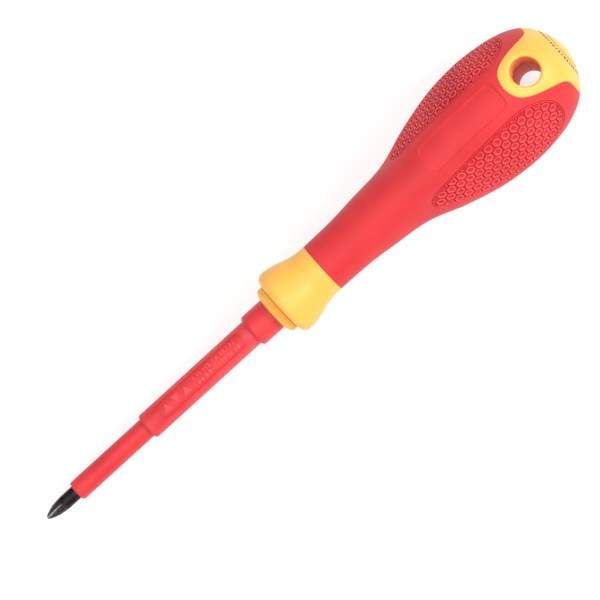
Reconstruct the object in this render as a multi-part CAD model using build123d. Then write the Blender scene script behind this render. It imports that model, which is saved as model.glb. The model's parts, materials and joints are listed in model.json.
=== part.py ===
from build123d import *
from math import acos, atan, cos, degrees, radians, sin, tanh
import os

# Insulated screwdriver with an interchangeable blade, in millimetres.
# Everything is drawn along the tool axis: X runs from the blade tip (0) to the butt,
# Z is the side of the upper label face.  The last step lays the finished tool on a
# table, label face up, resting on its finger guard and on the lower grip face.

# ------------------------------------------------------------------ blade
ROD_D = 4.0
TIP_PROFILE = [(0.0, 0.35), (0.5, 0.72), (1.6, 1.17), (3.2, 1.67), (4.7, 1.87), (6.2, 2.0)]
FLUTE_ROOT_R = 0.33          # distance of the flute root from the axis at the point
FLUTE_ANGLE = 13.5           # the flutes run out at this slope
FLUTE_OPEN = 92.0            # angle between the two walls of a flute
SHANK_AF = 5.0               # hexagonal drive shank, across flats
SHANK_START = 84.8
SHANK_END = 120.0
SHANK_CHAMFER = 0.5
LOCK_X = 91.0                # centre of the locking groove
LOCK_GROOVE_R = 2.1
LOCK_GROOVE_W = 1.5

INNER_SLEEVE_D = 5.8
INNER_SLEEVE_START = 10.4
MARKING_SLEEVE_D = 7.55
MARKING_SLEEVE_START = 35.9
COLLAR_D = 9.5
COLLAR_START = 73.4
COLLAR_END = 84.5
SLEEVE_EDGE_R = 0.7
COLLAR_EDGE_R = 1.0

MARKING_PANEL_START = 41.2
MARKING_PANEL_END = 70.6
MARKING_PANEL_W = 4.6
MARKING_PANEL_DEPTH = 0.15

# ------------------------------------------------------------------ release ring
RING_FRONT = 80.8
RING_BACK = 83.3
RING_D = 14.2
RING_NECK_D = 13.2           # behind its lip the ring is turned down
MOUTH_D = 9.7                # running fit round the blade collar
RING_LIP = 0.9               # front lip that covers the end of the release sleeve
RELEASE_TRAVEL = 3.0         # the ring slides forward by this much

RELEASE_SLEEVE_D = 10.9
RELEASE_SLEEVE_END = 95.1
RELEASE_FLANGE_D = 12.4
RELEASE_FLANGE_T = 1.0
LOCKING_LAND_START = 88.9
LOCKING_LAND_END = 92.7
LOCKING_LAND_D = 8.6
RELIEF_D = 10.0

# ------------------------------------------------------------------ parts inside the flare
FLARE_FRONT = 83.5
BUSH_FRONT = 83.8
BUSH_BACK = 86.5
BUSH_D = 14.0
BUSH_BORE_D = 11.1
CHAMBER_D = 13.0
CHAMBER_END = 95.4

SPRING_WIRE_D = 0.5
SPRING_MEAN_D = 11.7
SPRING_TURNS = 8.5

SOCKET_FRONT = 84.8
SOCKET_END = 122.5
SOCKET_D = 8.4
SOCKET_HEX_START = 102.5
SOCKET_HEX_AF = 9.0
SOCKET_BORE_AF = 5.1
SOCKET_BORE_END = 121.0

CLIP_WIRE_D = 0.8
CLIP_R = 3.75                # centre line of the round part of the clip
CLIP_CHORD_Z = 2.65          # centre line of the straight part of the clip
CLIP_SLOT_W = 0.92
CLIP_GROOVE_R = 3.32
CLIP_GAP_ANGLE = 24.0
CLIP_CORNER_R = 0.7

# ------------------------------------------------------------------ handle
FLARE_PROFILE = [(83.5, 7.0), (84.2, 9.2), (87.1, 9.7), (90.7, 8.8), (93.9, 7.85), (98.7, 7.42)]
GRIP_START = 98.7
# Stations of the handle, each with its distance along the axis and its mean radius.
HANDLE_STATIONS = [
    (98.7, 7.42), (104.5, 7.48), (111.5, 7.83), (117.5, 8.42), (123.5, 8.87),
    (128.4, 9.6), (132.4, 10.8), (136.4, 12.2), (140.4, 13.4), (144.3, 14.4),
    (149.3, 15.5), (155.3, 16.2), (161.7, 16.35), (167.2, 15.85), (171.1, 15.25),
    (175.1, 14.1), (178.1, 12.6), (180.6, 10.5), (182.5, 7.5), (183.8, 4.7), (184.6, 1.6),
]
BUTT_END = 184.6
LOBE_HEIGHT = 1.3            # the three label faces stand out by this much
LOBE_RISE = (112.0, 146.0)   # the lobes grow over this stretch
LOBE_FADE = (166.0, 184.6)   # and die out again towards the butt

GRIP_T_NECK = 1.4            # thickness of the soft grip at the neck
GRIP_T_BELLY = 2.3           # and at the belly
GRIP_CORE_END = 181.2

SEAM_ANGLE = 100.0           # the outlines start between a label face and an oval

WINDOW_MID = 172.2           # mean place of the line between grip and butt
WINDOW_SWING = 7.2           # how far that line swings to both sides
WINDOW_HALF_ANGLE = 27.0     # the butt shows in a window of this half angle round the hole
WINDOW_SOFTNESS = 12.0

LABEL_START = 137.4
LABEL_END = 163.4
LABEL_W = 7.3
LABEL_CORNER_R = 1.7
LABEL_DEPTH = 0.25

OVAL_START = 131.4
OVAL_WIDEST = 161.0
OVAL_END = 173.2
OVAL_END_AT_HOLE = 166.0     # the lower oval is shorter, the hanging hole comes out behind it
OVAL_HALF_ANGLE = 36.5       # half of the widest angle that an oval takes up round the handle
OVAL_FRONT_SHAPE = (1.7, 3.0)
OVAL_BACK_SHAPE = (2.2, 2.4)
OVAL_DEPTH = 0.35

HANG_HOLE_X = 172.3
HANG_HOLE_D = 8.0
HANG_HOLE_RIM_R = 0.8


# ------------------------------------------------------------------ helpers
def along_x(x_start, x_end, diameter):
    """Round bar on the tool axis."""
    bar = extrude(Circle(diameter / 2), x_end - x_start)
    return Location((x_start, 0, 0)) * Rotation(0, 90, 0) * bar


def hex_bar(x_start, x_end, across_flats):
    """Hexagonal bar on the tool axis, one flat up."""
    outline = RegularPolygon(across_flats / 2, 6, major_radius=False)
    bar = extrude(outline, x_end - x_start)
    return Location((x_start, 0, 0)) * Rotation(0, 90, 0) * Rotation(0, 0, 30) * bar


def turned(points):
    """Solid of revolution about the tool axis from (x, radius) points."""
    return revolve(make_face(Polyline(*points, close=True)), Axis.X, 360)


def about_axis(shape, angle):
    """Turn a shape about the tool axis."""
    return Rotation(angle, 0, 0) * shape


def smooth(value, low, high):
    """Soft step from 0 to 1 between two limits."""
    t = min(max((value - low) / (high - low), 0.0), 1.0)
    return t * t * (3 - 2 * t)


def lobe(x):
    """Height of the three lobes at a place along the handle."""
    return LOBE_HEIGHT * smooth(x, *LOBE_RISE) * (1 - smooth(x, *LOBE_FADE))


def mean_radius(x):
    """Mean radius of the handle between its stations."""
    for (x_low, r_low), (x_high, r_high) in zip(HANDLE_STATIONS, HANDLE_STATIONS[1:]):
        if x <= x_high:
            return r_low + (r_high - r_low) * (x - x_low) / (x_high - x_low)
    return HANDLE_STATIONS[-1][1]


def grip_thickness(x):
    """Radial thickness of the soft grip."""
    return GRIP_T_NECK + (GRIP_T_BELLY - GRIP_T_NECK) * smooth(x, GRIP_START, 145.0)


def handle_section(x, radius):
    """Closed three-lobed outline of the handle at one station."""
    outline = []
    for step in range(36):
        angle = radians(SEAM_ANGLE + step * 10)
        reach = radius + lobe(x) * cos(3 * angle)
        outline.append(Vector(x, reach * sin(angle), reach * cos(angle)))
    return Wire([Edge.make_spline(outline, periodic=True)])


def handle_skin(depth, last_x):
    """Solid bounded by the handle surface moved inwards by a constant depth or a function."""
    sections = []
    for x, radius in HANDLE_STATIONS:
        inset = depth(x) if callable(depth) else depth
        if x <= last_x and radius - inset > 1.0:
            sections.append(handle_section(x, radius - inset))
    return Solid.make_loft(sections)


def window_line(angle):
    """Place along the axis of the line between grip and butt at an angle in degrees."""
    from_label = min(abs((angle + 180) % 360 - 180), 60)
    return WINDOW_MID + WINDOW_SWING * tanh((from_label - WINDOW_HALF_ANGLE) / WINDOW_SOFTNESS)


def butt_zone():
    """Everything behind the wavy line where the soft grip ends."""
    back = BUTT_END + 10

    def loop(radius, place):
        points = []
        for angle in range(0, 360, 5):
            y = radius * sin(radians(angle))
            z = radius * cos(radians(angle))
            points.append(Vector(place(angle), y, z))
        return Edge.make_spline(points, periodic=True)

    loops = [
        loop(4, window_line),
        loop(24, window_line),
        loop(24, lambda angle: back),
        loop(4, lambda angle: back),
    ]
    faces = []
    for index in range(4):
        faces.append(Face.make_surface_from_curves(loops[index], loops[(index + 1) % 4]))
    return Solid(Shell(faces))


# ------------------------------------------------------------------ blade parts
rod_points = [(0, 0)] + TIP_PROFILE + [(SHANK_START, ROD_D / 2), (SHANK_START, 0)]
blade = turned(rod_points)

flute_outline = Polyline(
    (0, 0),
    (4 * cos(radians(FLUTE_OPEN / 2)), 4 * sin(radians(FLUTE_OPEN / 2))),
    (4 * cos(radians(FLUTE_OPEN / 2)), -4 * sin(radians(FLUTE_OPEN / 2))),
    close=True,
)
flute_plane = Plane(
    origin=(-2, 0, FLUTE_ROOT_R - 2 * sin(radians(FLUTE_ANGLE)) / cos(radians(FLUTE_ANGLE))),
    x_dir=(-sin(radians(FLUTE_ANGLE)), 0, cos(radians(FLUTE_ANGLE))),
    z_dir=(cos(radians(FLUTE_ANGLE)), 0, sin(radians(FLUTE_ANGLE))),
)
flute = extrude(flute_plane * make_face(flute_outline), 14)
for quarter in range(4):
    blade -= about_axis(flute, 45 + 90 * quarter)

shank = hex_bar(SHANK_START, SHANK_END, SHANK_AF)
shank_envelope = turned([
    (SHANK_START, 0),
    (SHANK_START, 4),
    (SHANK_END - SHANK_CHAMFER - 0.6, 4),
    (SHANK_END, SHANK_AF / 2 - SHANK_CHAMFER),
    (SHANK_END, 0),
])
shank = shank & shank_envelope
lock_groove = along_x(LOCK_X - LOCK_GROOVE_W / 2, LOCK_X + LOCK_GROOVE_W / 2, 8)
lock_groove -= along_x(LOCK_X - LOCK_GROOVE_W / 2, LOCK_X + LOCK_GROOVE_W / 2, 2 * LOCK_GROOVE_R)
blade = blade + (shank - lock_groove)

inner_sleeve = along_x(INNER_SLEEVE_START, COLLAR_END, INNER_SLEEVE_D)
inner_sleeve -= along_x(INNER_SLEEVE_START, COLLAR_END, ROD_D)
front_rim = inner_sleeve.edges().filter_by(GeomType.CIRCLE).group_by(Axis.X)[0].sort_by(SortBy.RADIUS)
inner_sleeve = fillet(front_rim[-1], 0.45)

marking_sleeve = along_x(MARKING_SLEEVE_START, COLLAR_START, MARKING_SLEEVE_D)
marking_sleeve -= along_x(MARKING_SLEEVE_START, COLLAR_START, INNER_SLEEVE_D)
front_rim = marking_sleeve.edges().filter_by(GeomType.CIRCLE).group_by(Axis.X)[0].sort_by(SortBy.RADIUS)
marking_sleeve = fillet(front_rim[-1], SLEEVE_EDGE_R)
panel_length = MARKING_PANEL_END - MARKING_PANEL_START
panel_outline = RectangleRounded(panel_length, MARKING_PANEL_W, 1.5)
panel_centre = Location(((MARKING_PANEL_START + MARKING_PANEL_END) / 2, 0, 0))
panel_block = panel_centre * extrude(panel_outline, MARKING_SLEEVE_D)
panel_block -= along_x(MARKING_PANEL_START, MARKING_PANEL_END, MARKING_SLEEVE_D - 2 * MARKING_PANEL_DEPTH)
marking_sleeve -= panel_block

blade_collar = along_x(COLLAR_START, COLLAR_END, COLLAR_D)
blade_collar -= along_x(COLLAR_START, COLLAR_END, INNER_SLEEVE_D)
front_rim = blade_collar.edges().filter_by(GeomType.CIRCLE).group_by(Axis.X)[0].sort_by(SortBy.RADIUS)
blade_collar = fillet(front_rim[-1], COLLAR_EDGE_R)
back_rim = blade_collar.edges().filter_by(GeomType.CIRCLE).group_by(Axis.X)[-1].sort_by(SortBy.RADIUS)
blade_collar = chamfer(back_rim[-1], 0.3)

# ------------------------------------------------------------------ release ring and sleeve
ring_dome = Spline(
    (RING_FRONT, MOUTH_D / 2),
    (RING_FRONT + 0.25, 5.9),
    (RING_FRONT + 1.4, RING_D / 2),
    tangents=[(0, 1), (1, 0.05)],
)
ring_rest = Polyline(
    (RING_FRONT + 1.4, RING_D / 2),
    (RING_FRONT + 1.55, RING_D / 2),
    (RING_FRONT + 1.9, RING_NECK_D / 2),
    (RING_BACK, RING_NECK_D / 2),
    (RING_BACK, RELEASE_SLEEVE_D / 2),
    (RING_FRONT + RING_LIP, RELEASE_SLEEVE_D / 2),
    (RING_FRONT + RING_LIP, MOUTH_D / 2),
    (RING_FRONT, MOUTH_D / 2),
)
release_ring = revolve(make_face([ring_dome, ring_rest]), Axis.X, 360)

sleeve_front = RING_FRONT + RING_LIP
release_sleeve = turned([
    (sleeve_front, MOUTH_D / 2),
    (sleeve_front, RELEASE_SLEEVE_D / 2),
    (RELEASE_SLEEVE_END - RELEASE_FLANGE_T, RELEASE_SLEEVE_D / 2),
    (RELEASE_SLEEVE_END - RELEASE_FLANGE_T, RELEASE_FLANGE_D / 2),
    (RELEASE_SLEEVE_END, RELEASE_FLANGE_D / 2),
    (RELEASE_SLEEVE_END, RELIEF_D / 2),
    (LOCKING_LAND_END + 0.5, RELIEF_D / 2),
    (LOCKING_LAND_END, LOCKING_LAND_D / 2),
    (LOCKING_LAND_START, LOCKING_LAND_D / 2),
    (LOCKING_LAND_START, MOUTH_D / 2),
])

# ------------------------------------------------------------------ parts inside the flare
front_bush = along_x(BUSH_FRONT, BUSH_BACK, BUSH_D) - along_x(BUSH_FRONT, BUSH_BACK, BUSH_BORE_D)

spring_front = BUSH_BACK + 0.1 + SPRING_WIRE_D / 2
spring_back = RELEASE_SLEEVE_END - RELEASE_FLANGE_T - 0.1 - SPRING_WIRE_D / 2
spring_length = spring_back - spring_front
coil = Edge.make_helix(
    pitch=spring_length / SPRING_TURNS,
    height=spring_length,
    radius=SPRING_MEAN_D / 2,
    center=(spring_front, 0, 0),
    normal=(1, 0, 0),
)
wire_section = Plane(origin=coil @ 0, z_dir=coil % 0) * Circle(SPRING_WIRE_D / 2)
return_spring = sweep(wire_section, path=coil, is_frenet=True)

bit_socket = along_x(SOCKET_FRONT, SOCKET_END, SOCKET_D)
bit_socket += hex_bar(SOCKET_HEX_START, SOCKET_END, SOCKET_HEX_AF)
bit_socket -= hex_bar(SOCKET_FRONT, SOCKET_BORE_END, SOCKET_BORE_AF)
clip_seat = along_x(LOCK_X - CLIP_SLOT_W / 2, LOCK_X + CLIP_SLOT_W / 2, SOCKET_D + 1)
clip_seat -= along_x(LOCK_X - CLIP_SLOT_W / 2, LOCK_X + CLIP_SLOT_W / 2, 2 * CLIP_GROOVE_R)
bit_socket -= clip_seat
slot_height = SOCKET_D / 2 - (CLIP_CHORD_Z - CLIP_WIRE_D / 2) + 1
slot = Box(CLIP_SLOT_W, SOCKET_D + 1, slot_height, align=(Align.CENTER, Align.CENTER, Align.MIN))
bit_socket -= Location((LOCK_X, 0, CLIP_CHORD_Z - CLIP_WIRE_D / 2 - 0.05)) * slot

# The clip is a D of spring wire: a straight bite across the shank and a round back with a gap.
corner_angle = degrees(acos(CLIP_CHORD_Z / CLIP_R))
chord_half = CLIP_R * sin(radians(corner_angle))
end_angle = 180 - CLIP_GAP_ANGLE / 2


def clip_point(angle):
    """Point on the round centre line of the clip."""
    return Vector(LOCK_X, CLIP_R * sin(radians(angle)), CLIP_R * cos(radians(angle)))


clip_path = Wire([
    Edge.make_three_point_arc(clip_point(-end_angle), clip_point(-100), clip_point(-corner_angle)),
    Edge.make_line(clip_point(-corner_angle), clip_point(corner_angle)),
    Edge.make_three_point_arc(clip_point(corner_angle), clip_point(100), clip_point(end_angle)),
])
clip_corners = [v for v in clip_path.vertices() if v.Z > 0]
clip_path = clip_path.fillet_2d(CLIP_CORNER_R, clip_corners)
clip_wire = Plane(origin=clip_path @ 0, z_dir=clip_path % 0) * Circle(CLIP_WIRE_D / 2)
lock_clip = sweep(clip_wire, path=clip_path)

# ------------------------------------------------------------------ handle
flare_curve = Spline(*FLARE_PROFILE, tangents=[(0, 1), (1, 0)])
flare_closing = Polyline((GRIP_START, 7.42), (GRIP_START, 0), (FLARE_FRONT, 0), (FLARE_FRONT, 7.0))
flare = revolve(make_face([flare_curve, flare_closing]), Axis.X, 360)

body = Part(handle_skin(0.0, BUTT_END).wrapped)
hang_hole = Location((HANG_HOLE_X, 0, 0)) * Cylinder(HANG_HOLE_D / 2, 60)
body -= hang_hole
rims = []
for edge in body.edges():
    span = edge.bounding_box()
    if abs(span.min.X + span.max.X - 2 * HANG_HOLE_X) < 1 and span.size.Y > HANG_HOLE_D - 0.5:
        rims.append(edge)
body = fillet(rims, HANG_HOLE_RIM_R)

core_shape = handle_skin(grip_thickness, GRIP_CORE_END)
soft_grip = body - core_shape
soft_grip -= butt_zone()
soft_grip -= along_x(GRIP_CORE_END - 1.0, BUTT_END + 10, 60)
handle_core = (flare + body) - soft_grip

label_skin = handle_skin(LABEL_DEPTH, BUTT_END)
label_outline = RectangleRounded(LABEL_END - LABEL_START, LABEL_W, LABEL_CORNER_R)
label_block = Location(((LABEL_START + LABEL_END) / 2, 0, 8)) * extrude(label_outline, 14)
label_recess = label_block - label_skin

oval_skin = handle_skin(OVAL_DEPTH, BUTT_END)


def oval_half_angle(x, x_end):
    """Half angle that an oval takes up round the handle at a place along it."""
    widest = OVAL_WIDEST - 0.8 * (OVAL_END - x_end)
    if x < widest:
        share = (widest - x) / (widest - OVAL_START)
        power, root = OVAL_FRONT_SHAPE
    else:
        share = (x - widest) / (x_end - widest)
        power, root = OVAL_BACK_SHAPE
    return OVAL_HALF_ANGLE * max(1 - share ** power, 0.0) ** (1 / root)


def oval_block(x_end):
    """Upright prism over the oval bed of the honeycomb, drawn on the upper side."""
    middle = (OVAL_START + x_end) / 2
    half = (x_end - OVAL_START) / 2
    outline = []
    for step in range(48):
        turn = radians(step * 7.5)
        x = middle - half * cos(turn)
        angle = radians(oval_half_angle(x, x_end))
        reach = mean_radius(x) - lobe(x) * cos(3 * angle)
        side = 1 if step < 24 else -1
        outline.append((x, side * reach * sin(angle)))
    face = make_face(Spline(*outline, periodic=True))
    return Location((0, 0, 6)) * extrude(face, 16)


for side in range(3):
    soft_grip -= about_axis(label_recess, 120 * side)
    x_end = OVAL_END_AT_HOLE if side == 0 else OVAL_END
    soft_grip -= about_axis(oval_block(x_end), 180 + 120 * side) - oval_skin

handle_core -= along_x(FLARE_FRONT - 1, BUSH_BACK, BUSH_D)
handle_core -= along_x(BUSH_BACK, CHAMBER_END, CHAMBER_D)
handle_core -= along_x(CHAMBER_END, SOCKET_END, SOCKET_D)
handle_core -= hex_bar(SOCKET_HEX_START, SOCKET_END, SOCKET_HEX_AF)

# ------------------------------------------------------------------ lay the tool on the table
# The lowest line of the tool touches the table at the finger guard and at the lower oval.
flare_x, flare_r = FLARE_PROFILE[2]
rest_slopes = []
for x, radius in HANDLE_STATIONS:
    if x > 140:
        lower_r = radius - lobe(x) - OVAL_DEPTH
        rest_slopes.append((lower_r - flare_r) / (x - flare_x))
TILT = degrees(atan(max(rest_slopes)))

nodes = {
    "phillips_blade": blade,
    "inner_sleeve": inner_sleeve,
    "marking_sleeve": marking_sleeve,
    "blade_collar": blade_collar,
    "release_ring": release_ring,
    "release_sleeve": release_sleeve,
    "front_bush": front_bush,
    "return_spring": return_spring,
    "bit_socket": bit_socket,
    "lock_clip": lock_clip,
    "handle_core": handle_core,
    "soft_grip": soft_grip,
}

tilted = {}
for name, shape in nodes.items():
    tilted[name] = Rotation(0, -TILT, 0) * shape
whole = Compound([piece for shape in tilted.values() for piece in shape.solids()])
box = whole.bounding_box()
shift = Location((-(box.min.X + box.max.X) / 2, -(box.min.Y + box.max.Y) / 2, -box.min.Z))

os.makedirs("parts", exist_ok=True)
for name, shape in tilted.items():
    placed = shift * shape
    export_step(placed, "parts/" + name + ".step")
    solids = placed.solids()
    size = placed.bounding_box().size
    print(name, len(solids), placed.is_valid, round(sum(s.volume for s in solids), 2), size)

print("tilt", TILT, "shift", shift.position, "size", box.size)
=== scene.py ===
import json
import math
import random

import bmesh
import bpy
import numpy as np
from mathutils import Matrix, Vector


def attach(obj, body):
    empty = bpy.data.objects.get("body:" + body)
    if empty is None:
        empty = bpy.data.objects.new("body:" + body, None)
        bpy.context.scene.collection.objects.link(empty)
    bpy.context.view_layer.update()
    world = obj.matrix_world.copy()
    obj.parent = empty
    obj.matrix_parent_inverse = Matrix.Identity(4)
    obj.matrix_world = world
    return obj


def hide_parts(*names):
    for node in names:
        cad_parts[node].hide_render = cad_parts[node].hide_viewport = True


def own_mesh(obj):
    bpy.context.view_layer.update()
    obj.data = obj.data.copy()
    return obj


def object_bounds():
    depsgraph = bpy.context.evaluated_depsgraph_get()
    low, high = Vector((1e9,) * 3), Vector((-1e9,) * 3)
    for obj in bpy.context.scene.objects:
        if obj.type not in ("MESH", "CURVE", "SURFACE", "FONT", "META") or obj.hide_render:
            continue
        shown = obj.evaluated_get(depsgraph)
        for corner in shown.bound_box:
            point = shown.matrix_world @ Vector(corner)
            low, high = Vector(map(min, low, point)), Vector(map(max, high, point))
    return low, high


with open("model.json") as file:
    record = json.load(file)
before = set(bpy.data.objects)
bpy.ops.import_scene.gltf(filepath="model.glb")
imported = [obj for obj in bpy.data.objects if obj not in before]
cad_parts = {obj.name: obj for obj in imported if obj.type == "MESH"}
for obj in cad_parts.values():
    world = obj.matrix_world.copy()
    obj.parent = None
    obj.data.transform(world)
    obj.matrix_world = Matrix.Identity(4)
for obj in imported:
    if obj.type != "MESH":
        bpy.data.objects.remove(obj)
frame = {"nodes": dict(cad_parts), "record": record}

cad_low, cad_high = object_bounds()
record = frame["record"]
nodes = frame["nodes"]
scene = bpy.context.scene
random.seed(7)

# ---------------------------------------------------------------------------
# the tool's own frame: x runs from the tip to the butt, z out of the label side
# ---------------------------------------------------------------------------
mounts = {m["name"]: m for m in record["mounts"]}
ORIGIN = np.array(mounts["tip"]["pos_m"], float)
X_AXIS = -np.array(mounts["tip"]["axis"], float)
Z_AXIS = np.array(mounts["hang_hole"]["axis"], float)
X_AXIS /= np.linalg.norm(X_AXIS)
Z_AXIS /= np.linalg.norm(Z_AXIS)
Y_AXIS = np.cross(Z_AXIS, X_AXIS)


def to_row(p):
    """Millimetres in the tool's frame to metres in the row frame."""
    p = np.asarray(p, float) / 1000.0
    return ORIGIN + p[..., 0:1] * X_AXIS + p[..., 1:2] * Y_AXIS + p[..., 2:3] * Z_AXIS


def in_tool(p):
    """A row frame point back in the tool's frame, millimetres."""
    d = np.array(p) - ORIGIN
    return tuple(1000 * float(d @ a) for a in (X_AXIS, Y_AXIS, Z_AXIS))


def polar(x, theta, r):
    """Points in the tool's frame; theta is 0 on the label side."""
    return np.stack([x + 0 * theta, r * np.sin(theta), r * np.cos(theta)], -1)


def smooth(v, a, b):
    """0 below a, 1 above b, and eased between them."""
    t = np.clip((v - a) / (b - a), 0, 1)
    return t * t * (3 - 2 * t)


def pchip(xs, ys):
    """Monotone cubic interpolation."""
    xs, ys = np.asarray(xs, float), np.asarray(ys, float)
    h, d = np.diff(xs), np.diff(ys) / np.diff(xs)
    m = np.zeros_like(ys)
    for i in range(1, len(xs) - 1):
        if d[i - 1] * d[i] > 0:
            w1, w2 = 2 * h[i] + h[i - 1], h[i] + 2 * h[i - 1]
            m[i] = (w1 + w2) / (w1 / d[i - 1] + w2 / d[i])
    m[0], m[-1] = d[0], d[-1]

    def f(x):
        x = np.clip(np.asarray(x, float), xs[0], xs[-1])
        i = np.clip(np.searchsorted(xs, x) - 1, 0, len(xs) - 2)
        t = (x - xs[i]) / h[i]
        return ((1 + 2 * t) * (1 - t) ** 2 * ys[i] + t * (1 - t) ** 2 * h[i] * m[i]
                + t * t * (3 - 2 * t) * ys[i + 1] + t * t * (t - 1) * h[i] * m[i + 1])
    return f


GRIP_FRONT, BUTT_END = 98.7, 184.6
# mean radius of the grip along the axis, both in millimetres like all that follows
STATIONS = [(98.7, 7.42), (104.5, 7.48), (111.5, 7.83), (117.5, 8.42), (123.5, 8.87),
            (128.4, 9.6), (132.4, 10.8), (136.4, 12.2), (140.4, 13.4), (144.3, 14.4),
            (149.3, 15.5), (155.3, 16.2), (161.7, 16.35), (167.2, 15.85), (171.1, 15.25),
            (175.1, 14.1), (178.1, 12.6), (180.6, 10.5), (182.5, 7.5), (183.8, 4.7), (184.6, 1.6)]
LOBE_HEIGHT = 1.3
mean_raw = pchip(*zip(*STATIONS))


def lobe(x):
    """Height of the three lobes, which die out at the neck and at the butt."""
    return LOBE_HEIGHT * smooth(x, 112, 146) * (1 - smooth(x, 166, BUTT_END))


# ---------------------------------------------------------------------------
# helpers
# ---------------------------------------------------------------------------
def srgb(r, g, b):
    """An 8-bit colour as a linear one."""
    def c(v):
        v /= 255.0
        return v / 12.92 if v <= 0.04045 else ((v + 0.055) / 1.055) ** 2.4
    return (c(r), c(g), c(b), 1.0)


def shade_by_angle(bm, degrees):
    """Smooth faces, with a crisp edge where two of them meet at more than the angle."""
    limit = math.radians(degrees)
    for f in bm.faces:
        f.smooth = True
    for e in bm.edges:
        e.smooth = len(e.link_faces) == 2 and e.calc_face_angle(0) < limit


def add_piece(name, mesh, body):
    obj = bpy.data.objects.new(name, mesh)
    scene.collection.objects.link(obj)
    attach(obj, body)
    return obj


def make_object(name, verts, faces, material, body, angle=30.0, more=(), tones=None):
    """A piece from vertices and faces; tones gives each face's place in the materials."""
    mesh = bpy.data.meshes.new(name)
    mesh.from_pydata([tuple(v) for v in verts], [], [tuple(int(i) for i in f) for f in faces])
    for m in (material,) + tuple(more):
        mesh.materials.append(m)
    if tones:
        mesh.polygons.foreach_set("material_index", tones)
    bm = bmesh.new()
    bm.from_mesh(mesh)
    bmesh.ops.remove_doubles(bm, verts=bm.verts, dist=1e-7)
    bmesh.ops.recalc_face_normals(bm, faces=bm.faces)
    shade_by_angle(bm, angle)
    bm.to_mesh(mesh)
    bm.free()
    return add_piece(name, mesh, body)


# ---------------------------------------------------------------------------
# materials
# ---------------------------------------------------------------------------
def finish_material(name, base, dark, light, rough, spread=0.05, metal=0.0, grain=2500.0,
                    bump=0.12, cloud=90.0, wear_and_highlight=0.0, wear_and_highlight_colour=None, spec=0.5,
                    subsurface=0.0):
    """Three tones in soft clouds, fine grain in the bump, uneven gloss and lightened edges: real
    wear on steel, a painted highlight on the plastics.
    """
    m = bpy.data.materials.new(name)
    m.use_nodes = True
    nt = m.node_tree
    shader = nt.nodes["Principled BSDF"]
    co = nt.nodes.new("ShaderNodeTexCoord")

    def noise(scale, detail):
        n = nt.nodes.new("ShaderNodeTexNoise")
        n.inputs["Scale"].default_value = scale
        n.inputs["Detail"].default_value = detail
        nt.links.new(co.outputs["Object"], n.inputs["Vector"])
        return n.outputs["Fac"]

    big, fine, mid = noise(cloud, 3.0), noise(grain, 2.0), noise(grain / 9.0, 4.0)
    ramp = nt.nodes.new("ShaderNodeValToRGB")
    ramp.color_ramp.elements[0].position = 0.30
    ramp.color_ramp.elements[0].color = dark
    ramp.color_ramp.elements[1].position = 0.70
    ramp.color_ramp.elements[1].color = light
    middle = ramp.color_ramp.elements.new(0.5)
    middle.color = base
    nt.links.new(big, ramp.inputs["Fac"])
    colour = ramp.outputs["Color"]
    # edges lightened where the surface is sharp: real wear on the steels, a painted highlight on
    # the red and yellow plastics
    if wear_and_highlight > 0:
        geo = nt.nodes.new("ShaderNodeNewGeometry")
        edge = nt.nodes.new("ShaderNodeMapRange")
        edge.inputs["From Min"].default_value = 0.52
        edge.inputs["From Max"].default_value = 0.60
        edge.inputs["To Max"].default_value = wear_and_highlight
        nt.links.new(geo.outputs["Pointiness"], edge.inputs["Value"])
        patchy = nt.nodes.new("ShaderNodeMath")
        patchy.operation = "MULTIPLY"
        nt.links.new(edge.outputs["Result"], patchy.inputs[0])
        nt.links.new(mid, patchy.inputs[1])
        mix = nt.nodes.new("ShaderNodeMixRGB")
        mix.inputs["Color2"].default_value = wear_and_highlight_colour or light
        nt.links.new(patchy.outputs["Value"], mix.inputs["Fac"])
        nt.links.new(colour, mix.inputs["Color1"])
        colour = mix.outputs["Color"]
    nt.links.new(colour, shader.inputs["Base Color"])
    rr = nt.nodes.new("ShaderNodeMapRange")
    rr.inputs["To Min"].default_value = rough - spread
    rr.inputs["To Max"].default_value = rough + spread
    nt.links.new(mid, rr.inputs["Value"])
    nt.links.new(rr.outputs["Result"], shader.inputs["Roughness"])
    b = nt.nodes.new("ShaderNodeBump")
    b.inputs["Strength"].default_value = bump
    b.inputs["Distance"].default_value = 0.0001
    nt.links.new(fine, b.inputs["Height"])
    nt.links.new(b.outputs["Normal"], shader.inputs["Normal"])
    shader.inputs["Metallic"].default_value = metal
    shader.inputs["Specular IOR Level"].default_value = spec
    if subsurface > 0:
        shader.inputs["Subsurface Weight"].default_value = subsurface
        shader.inputs["Subsurface Radius"].default_value = (1.0, 0.45, 0.15)
        shader.inputs["Subsurface Scale"].default_value = 0.0015
    return m


# on these red and yellow plastics the lightened edges are a painted highlight
grip_red = finish_material("grip_red", srgb(217, 50, 55), srgb(211, 46, 52), srgb(223, 55, 59),
                           0.52, bump=0.16, grain=3200.0, wear_and_highlight=0.25, spec=0.35,
                           wear_and_highlight_colour=srgb(240, 100, 102))
hex_red = finish_material("hex_red", srgb(217, 49, 55), srgb(209, 44, 51), srgb(224, 56, 61),
                          0.46, bump=0.14, grain=3600.0, wear_and_highlight=0.3, spec=0.4,
                          wear_and_highlight_colour=srgb(244, 112, 114))
# a lighter red painted as highlight on the flat tops of the cells
painted_highlight_red = finish_material("painted_highlight_red", srgb(228, 60, 64), srgb(221, 54, 59), srgb(235, 68, 72),
                            0.38, bump=0.12, grain=3600.0, spec=0.6)
# a darker red painted as shade in the grooves and dimples of the cells, the floors of the oval
# beds and at the foot of the marks
painted_shade_red = finish_material("painted_shade_red", srgb(204, 43, 50), srgb(196, 38, 46), srgb(211, 48, 55),
                             0.6, bump=0.12, grain=3600.0, spec=0.2)
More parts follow.
